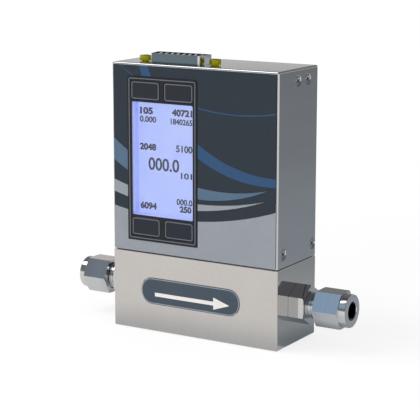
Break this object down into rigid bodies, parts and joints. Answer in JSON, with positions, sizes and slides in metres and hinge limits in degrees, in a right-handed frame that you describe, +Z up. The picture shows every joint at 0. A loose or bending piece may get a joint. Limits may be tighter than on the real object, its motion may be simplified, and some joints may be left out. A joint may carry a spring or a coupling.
{
  "type": "gas mass flow meter",
  "caption": "In-line gas mass flow meter: steel flow block with a compression fitting at each end, and a sheet steel cover with a backlit display, keys and a connector on top.",
  "frame": {"origin": "middle of the flow block's underside", "axes": "+X along the flow axis from inlet to outlet, -Y out of the display, +Z up"},
  "size_m": [0.128, 0.0331, 0.1151],
  "materials": {
    "satin_steel": "satin ground",
    "bright_steel": "bright machined",
    "cover_steel": "fine brushed",
    "plated_sheet": "zinc plated",
    "woven_steel": "woven",
    "passivated_brass": "gold passivated",
    "seal_rubber": "matte",
    "dark_plastic": "fine matte",
    "key_plastic": "fine matte",
    "white_plastic": "matte",
    "clear_plastic": "polished",
    "panel_glass": "backlit",
    "light_diffuser": "translucent",
    "board_laminate": "coated laminate",
    "nylon": "natural",
    "ribbon_film": "soft",
    "label_film": "printed film",
    "badge_film": "printed film"
  },
  "bodies": {
    "meter": {"base_block": "satin_steel", "flow_badge": "badge_film", "inlet_fitting": "bright_steel", "outlet_fitting": "bright_steel", "inlet_port_seal": "seal_rubber", "outlet_port_seal": "seal_rubber", "inlet_screen": "woven_steel", "laminar_element": "satin_steel", "sensor_base": "satin_steel", "sensor_tube": "satin_steel", "sensor_can": "plated_sheet", "sensor_seal_inlet": "seal_rubber", "sensor_seal_outlet": "seal_rubber", "sensor_screw_inlet": "bright_steel", "sensor_screw_outlet": "bright_steel", "chassis": "plated_sheet", "chassis_screw_left": "bright_steel", "chassis_screw_right": "bright_steel", "main_board": "board_laminate", "board_screw_left_lower": "bright_steel", "board_screw_left_upper": "bright_steel", "board_screw_right_lower": "bright_steel", "board_screw_right_upper": "bright_steel", "display_board": "board_laminate", "display_standoff_lower_left": "nylon", "display_standoff_lower_right": "nylon", "display_standoff_upper_left": "nylon", "display_standoff_upper_right": "nylon", "backlight": "light_diffuser", "display_panel": "panel_glass", "display_tray": "white_plastic", "display_window": "clear_plastic", "keypad_frame": "dark_plastic", "front_label": "label_film", "cover": "cover_steel", "connector_shell": "plated_sheet", "connector_insulator": "dark_plastic", "jackscrew_left": "passivated_brass", "jackscrew_right": "passivated_brass", "ribbon_cable": "ribbon_film", "cover_screw_left_upper_front": "bright_steel", "cover_screw_left_upper_rear": "bright_steel", "cover_screw_left_lower_front": "bright_steel", "cover_screw_left_lower_rear": "bright_steel", "cover_screw_right_upper_front": "bright_steel", "cover_screw_right_upper_rear": "bright_steel", "cover_screw_right_lower_front": "bright_steel", "cover_screw_right_lower_rear": "bright_steel"},
    "key_top_left": {"key_top_left": "key_plastic"},
    "key_top_right": {"key_top_right": "key_plastic"},
    "key_bottom_left": {"key_bottom_left": "key_plastic"},
    "key_bottom_right": {"key_bottom_right": "key_plastic"},
    "inlet_ferrules": {"inlet_front_ferrule": "bright_steel", "inlet_back_ferrule": "bright_steel"},
    "inlet_nut": {"inlet_nut": "bright_steel"},
    "outlet_ferrules": {"outlet_front_ferrule": "bright_steel", "outlet_back_ferrule": "bright_steel"},
    "outlet_nut": {"outlet_nut": "bright_steel"}
  },
  "joints": [
    {"name": "key_top_left_press", "type": "slide", "parent": "meter", "child": "key_top_left", "axis": [0, 1, 0], "range_m": [0, 0.0004], "stiffness_N_per_m": 1500},
    {"name": "key_top_right_press", "type": "slide", "parent": "meter", "child": "key_top_right", "axis": [0, 1, 0], "range_m": [0, 0.0004], "stiffness_N_per_m": 1500},
    {"name": "key_bottom_left_press", "type": "slide", "parent": "meter", "child": "key_bottom_left", "axis": [0, 1, 0], "range_m": [0, 0.0004], "stiffness_N_per_m": 1500},
    {"name": "key_bottom_right_press", "type": "slide", "parent": "meter", "child": "key_bottom_right", "axis": [0, 1, 0], "range_m": [0, 0.0004], "stiffness_N_per_m": 1500},
    {"name": "inlet_nut_travel", "type": "slide", "parent": "meter", "child": "inlet_ferrules", "axis": [-1, 0, 0], "range_m": [0, 0.00382]},
    {"name": "inlet_nut_turn", "type": "hinge", "parent": "inlet_ferrules", "child": "inlet_nut", "pos_m": [-0.064, 0, 0.0165], "axis": [-1, 0, 0], "range_deg": [0, 1080]},
    {"name": "outlet_nut_travel", "type": "slide", "parent": "meter", "child": "outlet_ferrules", "axis": [1, 0, 0], "range_m": [0, 0.00382]},
    {"name": "outlet_nut_turn", "type": "hinge", "parent": "outlet_ferrules", "child": "outlet_nut", "pos_m": [0.064, 0, 0.0165], "axis": [1, 0, 0], "range_deg": [0, 1080]}
  ],
  "couplings": [
    {"joint": "inlet_nut_travel", "follows": "inlet_nut_turn", "m_per_rad": 0.00020213},
    {"joint": "outlet_nut_travel", "follows": "outlet_nut_turn", "m_per_rad": 0.00020213}
  ]
}
